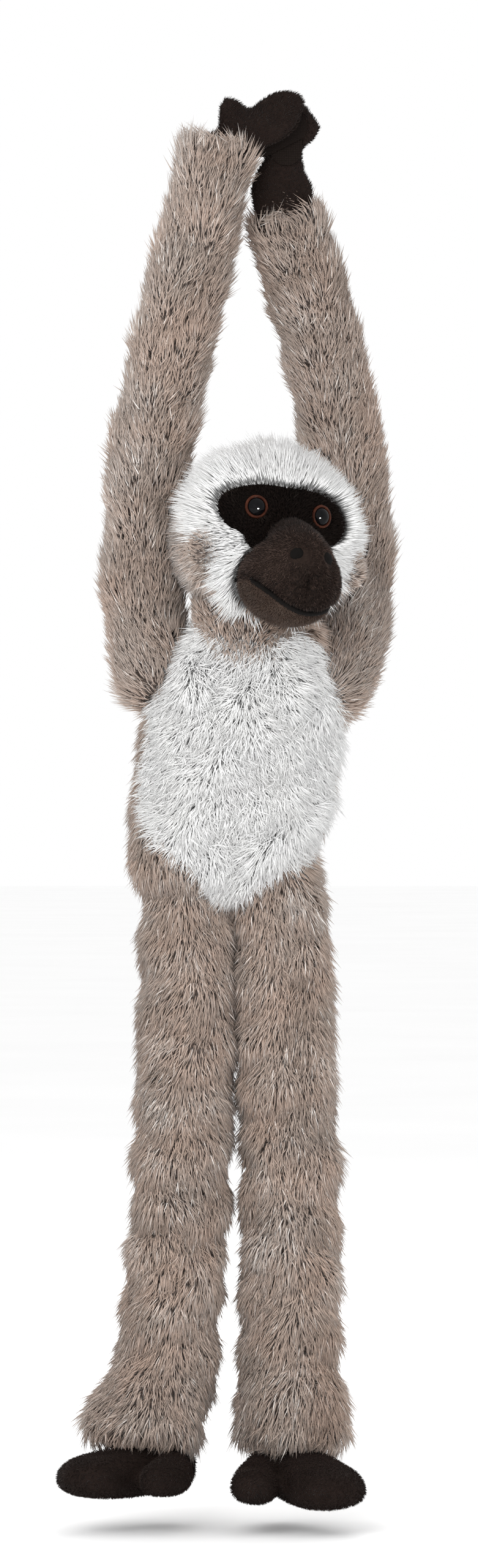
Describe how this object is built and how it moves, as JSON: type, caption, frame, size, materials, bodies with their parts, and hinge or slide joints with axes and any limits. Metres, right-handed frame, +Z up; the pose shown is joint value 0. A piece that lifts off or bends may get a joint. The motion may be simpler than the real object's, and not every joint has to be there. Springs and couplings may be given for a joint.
{
  "type": "plush gibbon",
  "caption": "Hanging plush gibbon with long arms clasped overhead by hook-and-loop palms, a white ruff round a dark face, a white belly and jointed limbs.",
  "frame": {"origin": "hang point: on the plane where the two palms grip each other, beside the wrists, above the head", "axes": "+Z up, chest and face look towards -Y, +X to the toy's left"},
  "size_m": [0.1595, 0.1392, 0.6895],
  "materials": {
    "plush_taupe": "long silky taupe pile",
    "plush_white": "long white pile with a sparkle",
    "pile_mask": "short near-black brown pile",
    "pile_snout": "short brown pile",
    "pile_hand": "smooth dark brown minky",
    "fibrefill": "loose polyester fibre",
    "hook_tape": "woven hook tape",
    "loop_tape": "brushed loop tape",
    "thread": "embroidery thread",
    "eye_black": "polished",
    "eye_ring": "polished",
    "washer": "moulded"
  },
  "bodies": {
    "torso": {"torso_back": "plush_taupe", "belly_panel": "plush_white", "torso_stuffing": "fibrefill"},
    "neck": {"neck_sleeve": "plush_taupe", "neck_stuffing": "fibrefill"},
    "head": {"head_back": "plush_taupe", "face_ruff": "plush_white", "face_mask": "pile_mask", "muzzle": "pile_snout", "chin": "pile_snout", "mouth_seam": "thread", "nostrils": "thread", "head_stuffing": "fibrefill", "eye_right": "eye_black", "eye_left": "eye_black", "iris_right": "eye_ring", "iris_left": "eye_ring", "eye_washer_right": "washer", "eye_washer_left": "washer", "ear_right": "plush_taupe", "ear_left": "plush_taupe"},
    "upper_arm_right": {"upper_arm_sleeve_right": "plush_taupe", "upper_arm_stuffing_right": "fibrefill"},
    "forearm_right": {"forearm_sleeve_right": "plush_taupe", "forearm_stuffing_right": "fibrefill"},
    "hand_right": {"hand_back_right": "pile_hand", "hand_palm_right": "pile_hand", "hand_stuffing_right": "fibrefill", "thumb_right": "pile_hand", "hook_patch": "hook_tape"},
    "thigh_right": {"thigh_sleeve_right": "plush_taupe", "thigh_stuffing_right": "fibrefill"},
    "shin_right": {"shin_sleeve_right": "plush_taupe", "shin_stuffing_right": "fibrefill"},
    "foot_right": {"foot_top_right": "pile_hand", "foot_sole_right": "pile_hand", "foot_stuffing_right": "fibrefill", "big_toe_right": "pile_hand"},
    "upper_arm_left": {"upper_arm_sleeve_left": "plush_taupe", "upper_arm_stuffing_left": "fibrefill"},
    "forearm_left": {"forearm_sleeve_left": "plush_taupe", "forearm_stuffing_left": "fibrefill"},
    "hand_left": {"hand_back_left": "pile_hand", "hand_palm_left": "pile_hand", "hand_stuffing_left": "fibrefill", "thumb_left": "pile_hand", "loop_patch": "loop_tape"},
    "thigh_left": {"thigh_sleeve_left": "plush_taupe", "thigh_stuffing_left": "fibrefill"},
    "shin_left": {"shin_sleeve_left": "plush_taupe", "shin_stuffing_left": "fibrefill"},
    "foot_left": {"foot_top_left": "pile_hand", "foot_sole_left": "pile_hand", "foot_stuffing_left": "fibrefill", "big_toe_left": "pile_hand"}
  },
  "joints": [
    {"name": "neck_turn", "type": "hinge", "parent": "torso", "child": "neck", "pos_m": [-0.002, -0.002, -0.23601], "axis": [0.0679, -0.2328, 0.9701], "range_deg": [-40, 20]},
    {"name": "head_nod", "type": "hinge", "parent": "neck", "child": "head", "pos_m": [-0.00088, -0.00584, -0.22], "axis": [0.9063, 0.4226, 0], "range_deg": [0, 12]},
    {"name": "shoulder_right", "type": "hinge", "parent": "torso", "child": "upper_arm_right", "pos_m": [-0.05, 0.006, -0.25201], "axis": [0, -1, 0], "range_deg": [0, 90]},
    {"name": "elbow_right", "type": "hinge", "parent": "upper_arm_right", "child": "forearm_right", "pos_m": [-0.0594, 0.0047, -0.1615], "axis": [0, -1, 0], "range_deg": [0, 80]},
    {"name": "wrist_right", "type": "hinge", "parent": "forearm_right", "child": "hand_right", "pos_m": [-0.015, -0.0067, -0.003], "axis": [0.4226, 0, -0.9063], "range_deg": [0, 60]},
    {"name": "hip_right", "type": "hinge", "parent": "torso", "child": "thigh_right", "pos_m": [-0.035, 0.004, -0.35686], "axis": [1, 0, 0], "range_deg": [-90, 25]},
    {"name": "knee_right", "type": "hinge", "parent": "thigh_right", "child": "shin_right", "pos_m": [-0.03259, 0.004, -0.49484], "axis": [1, 0, 0], "range_deg": [0, 80]},
    {"name": "ankle_right", "type": "hinge", "parent": "shin_right", "child": "foot_right", "pos_m": [-0.04505, 0.004, -0.63729], "axis": [0.866, -0.5, 0], "range_deg": [-16, 16]},
    {"name": "shoulder_left", "type": "hinge", "parent": "torso", "child": "upper_arm_left", "pos_m": [0.038, 0.006, -0.25801], "axis": [0, 1, 0], "range_deg": [0, 90]},
    {"name": "elbow_left", "type": "hinge", "parent": "upper_arm_left", "child": "forearm_left", "pos_m": [0.04868, 0.04421, -0.17611], "axis": [0, 1, 0], "range_deg": [0, 80]},
    {"name": "wrist_left", "type": "hinge", "parent": "forearm_left", "child": "hand_left", "pos_m": [0.015, 0.0067, -0.019], "axis": [-0.9986, 0, 0.0523], "range_deg": [0, 60]},
    {"name": "hip_left", "type": "hinge", "parent": "torso", "child": "thigh_left", "pos_m": [0.013, 0.004, -0.35686], "axis": [1, 0, 0], "range_deg": [-90, 25]},
    {"name": "knee_left", "type": "hinge", "parent": "thigh_left", "child": "shin_left", "pos_m": [0.01902, 0.004, -0.49473], "axis": [1, 0, 0], "range_deg": [0, 80]},
    {"name": "ankle_left", "type": "hinge", "parent": "shin_left", "child": "foot_left", "pos_m": [0.01603, 0.004, -0.6377], "axis": [0.9781, 0.2079, 0], "range_deg": [-16, 16]}
  ]
}
